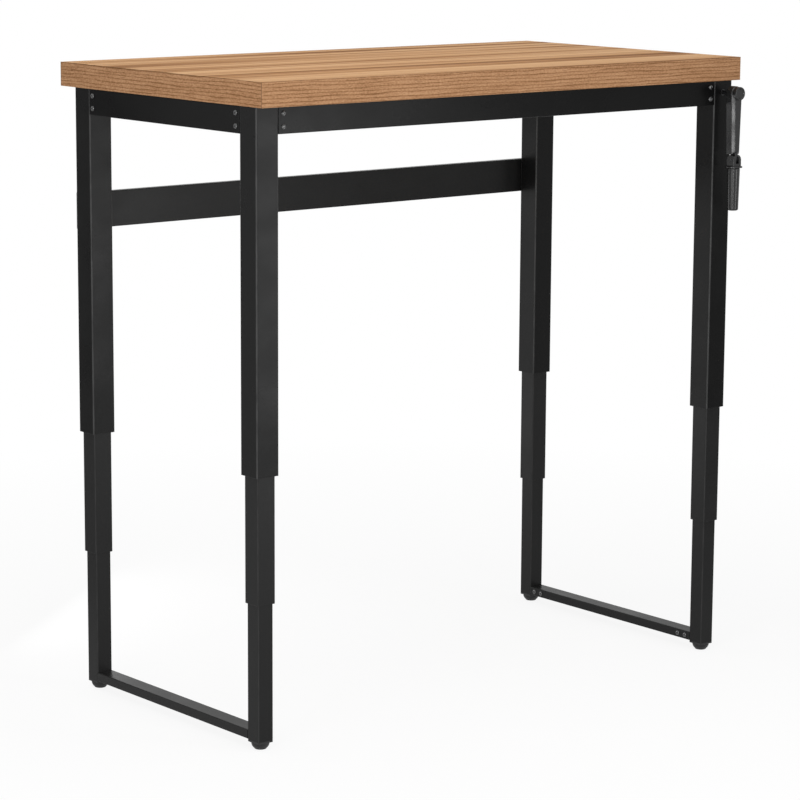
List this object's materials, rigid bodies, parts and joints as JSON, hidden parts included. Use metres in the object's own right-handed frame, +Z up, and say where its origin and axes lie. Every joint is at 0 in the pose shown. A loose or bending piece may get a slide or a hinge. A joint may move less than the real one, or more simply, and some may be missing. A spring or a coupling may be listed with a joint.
{
  "type": "height-adjustable desk",
  "caption": "Hand-cranked standing desk with a thick wood top on square telescoping steel legs, driven together by bevel gears and lead screws, with foot rails and a rear crossbar.",
  "frame": {"origin": "on the floor under the centre of the overall box, with the desk raised to its full height and its crank pulled out", "axes": "+X along the desk's length to its right end, +Y from the user to the rear, +Z up"},
  "size_m": [1.2, 0.674, 1.231],
  "materials": {
    "powder_coat": "satin",
    "black_bolts": "satin",
    "steel": "satin",
    "cast_housing": "matte",
    "bronze_nut": "satin",
    "guide_plastic": "matte",
    "black_plastic": "matte",
    "crank_plastic": "gloss",
    "board": "matte",
    "wood_top": "satin",
    "wood_edge": "satin"
  },
  "bodies": {
    "base_left": {"inner_tube_front_left": "powder_coat", "inner_tube_rear_left": "powder_coat", "foot_rail_left": "powder_coat", "rail_spigots_left": "powder_coat", "rail_bolts_left": "black_bolts", "lift_nuts_left": "bronze_nut", "end_plugs_left": "black_plastic"},
    "top": {"tabletop_board": "board", "tabletop_laminate": "wood_top", "tabletop_edging": "wood_edge", "outer_tube_front_left": "powder_coat", "outer_tube_front_right": "powder_coat", "outer_tube_rear_left": "powder_coat", "outer_tube_rear_right": "powder_coat", "front_apron": "powder_coat", "rear_apron": "powder_coat", "left_apron": "powder_coat", "right_apron": "powder_coat", "apron_brackets": "powder_coat", "apron_bolts": "black_bolts", "top_screws": "black_bolts", "crossbar": "powder_coat", "crossbar_pads": "powder_coat", "crossbar_bolts": "black_bolts", "crossbar_caps": "black_plastic", "gear_housings": "cast_housing", "leg_guides": "guide_plastic"},
    "base_right": {"inner_tube_front_right": "powder_coat", "inner_tube_rear_right": "powder_coat", "foot_rail_right": "powder_coat", "rail_spigots_right": "powder_coat", "rail_bolts_right": "black_bolts", "lift_nuts_right": "bronze_nut", "end_plugs_right": "black_plastic"},
    "middle_front_left": {"middle_tube_front_left": "powder_coat", "middle_guides_front_left": "guide_plastic"},
    "middle_front_right": {"middle_tube_front_right": "powder_coat", "middle_guides_front_right": "guide_plastic"},
    "middle_rear_left": {"middle_tube_rear_left": "powder_coat", "middle_guides_rear_left": "guide_plastic"},
    "middle_rear_right": {"middle_tube_rear_right": "powder_coat", "middle_guides_rear_right": "guide_plastic"},
    "screw_front_left": {"lead_screw_front_left": "steel"},
    "screw_front_right": {"lead_screw_front_right": "steel"},
    "screw_rear_left": {"lead_screw_rear_left": "steel"},
    "screw_rear_right": {"lead_screw_rear_right": "steel"},
    "shaft_right": {"drive_shaft_right": "steel"},
    "shaft_rear": {"drive_shaft_rear": "steel"},
    "shaft_left": {"drive_shaft_left": "steel"},
    "crank_drive": {"crank_pinion": "steel"},
    "crank": {"crank_arm": "crank_plastic", "crank_shaft": "steel"},
    "grip_joint": {"grip_link": "crank_plastic", "grip_pin": "steel"},
    "grip": {"crank_grip": "crank_plastic"},
    "foot_front_left": {"levelling_foot_front_left": "black_plastic"},
    "foot_front_right": {"levelling_foot_front_right": "black_plastic"},
    "foot_rear_left": {"levelling_foot_rear_left": "black_plastic"},
    "foot_rear_right": {"levelling_foot_rear_right": "black_plastic"}
  },
  "joints": [
    {"name": "lift", "type": "slide", "parent": "base_left", "child": "top", "axis": [0, 0, 1], "range_m": [-0.45, 0]},
    {"name": "crank_turn", "type": "hinge", "parent": "top", "child": "crank_drive", "pos_m": [0.5725, -0.263, 1.16], "axis": [0, -1, 0], "range_deg": [-32400, 0]},
    {"name": "right_base_slide", "type": "slide", "parent": "top", "child": "base_right", "axis": [0, 0, 1], "range_m": [0, 0.45]},
    {"name": "middle_slide_front_left", "type": "slide", "parent": "top", "child": "middle_front_left", "axis": [0, 0, 1], "range_m": [0, 0.225]},
    {"name": "middle_slide_front_right", "type": "slide", "parent": "top", "child": "middle_front_right", "axis": [0, 0, 1], "range_m": [0, 0.225]},
    {"name": "middle_slide_rear_left", "type": "slide", "parent": "top", "child": "middle_rear_left", "axis": [0, 0, 1], "range_m": [0, 0.225]},
    {"name": "middle_slide_rear_right", "type": "slide", "parent": "top", "child": "middle_rear_right", "axis": [0, 0, 1], "range_m": [0, 0.225]},
    {"name": "screw_turn_front_left", "type": "hinge", "parent": "top", "child": "screw_front_left", "pos_m": [-0.5725, -0.263, 1.16], "axis": [0, 0, 1], "range_deg": [0, 16200]},
    {"name": "screw_turn_front_right", "type": "hinge", "parent": "top", "child": "screw_front_right", "pos_m": [0.5725, -0.263, 1.16], "axis": [0, 0, 1], "range_deg": [-16200, 0]},
    {"name": "screw_turn_rear_left", "type": "hinge", "parent": "top", "child": "screw_rear_left", "pos_m": [-0.5725, 0.267, 1.16], "axis": [0, 0, 1], "range_deg": [-16200, 0]},
    {"name": "screw_turn_rear_right", "type": "hinge", "parent": "top", "child": "screw_rear_right", "pos_m": [0.5725, 0.267, 1.16], "axis": [0, 0, 1], "range_deg": [0, 16200]},
    {"name": "shaft_turn_right", "type": "hinge", "parent": "top", "child": "shaft_right", "pos_m": [0.5725, -0.263, 1.16], "axis": [0, 1, 0], "range_deg": [-32400, 0]},
    {"name": "shaft_turn_rear", "type": "hinge", "parent": "top", "child": "shaft_rear", "pos_m": [0, 0.267, 1.16], "axis": [1, 0, 0], "range_deg": [-32400, 0]},
    {"name": "shaft_turn_left", "type": "hinge", "parent": "top", "child": "shaft_left", "pos_m": [-0.5725, -0.263, 1.16], "axis": [0, 1, 0], "range_deg": [0, 32400]},
    {"name": "crank_pull", "type": "slide", "parent": "crank_drive", "child": "crank", "axis": [0, -1, 0], "range_m": [-0.02, 0]},
    {"name": "grip_fold", "type": "hinge", "parent": "crank", "child": "grip_joint", "pos_m": [0.5725, -0.323, 1.027], "axis": [-1, 0, 0], "range_deg": [0, 90]},
    {"name": "grip_spin", "type": "hinge", "parent": "grip_joint", "child": "grip", "pos_m": [0.5725, -0.323, 1.027], "axis": [0, 0, 1], "continuous": true},
    {"name": "foot_level_front_left", "type": "slide", "parent": "base_left", "child": "foot_front_left", "axis": [0, 0, -1], "range_m": [0, 0.012]},
    {"name": "foot_level_front_right", "type": "slide", "parent": "base_right", "child": "foot_front_right", "axis": [0, 0, -1], "range_m": [0, 0.012]},
    {"name": "foot_level_rear_left", "type": "slide", "parent": "base_left", "child": "foot_rear_left", "axis": [0, 0, -1], "range_m": [0, 0.012]},
    {"name": "foot_level_rear_right", "type": "slide", "parent": "base_right", "child": "foot_rear_right", "axis": [0, 0, -1], "range_m": [0, 0.012]}
  ],
  "couplings": [
    {"joint": "crank_turn", "follows": "lift", "rad_per_m": 1256.6},
    {"joint": "right_base_slide", "follows": "lift", "ratio": -1},
    {"joint": "middle_slide_front_left", "follows": "lift", "ratio": -0.5},
    {"joint": "middle_slide_front_right", "follows": "lift", "ratio": -0.5},
    {"joint": "middle_slide_rear_left", "follows": "lift", "ratio": -0.5},
    {"joint": "middle_slide_rear_right", "follows": "lift", "ratio": -0.5},
    {"joint": "screw_turn_front_left", "follows": "lift", "rad_per_m": -628.32},
    {"joint": "screw_turn_front_right", "follows": "lift", "rad_per_m": 628.32},
    {"joint": "screw_turn_rear_left", "follows": "lift", "rad_per_m": 628.32},
    {"joint": "screw_turn_rear_right", "follows": "lift", "rad_per_m": -628.32},
    {"joint": "shaft_turn_right", "follows": "lift", "rad_per_m": 1256.6},
    {"joint": "shaft_turn_rear", "follows": "lift", "rad_per_m": 1256.6},
    {"joint": "shaft_turn_left", "follows": "lift", "rad_per_m": -1256.6}
  ]
}
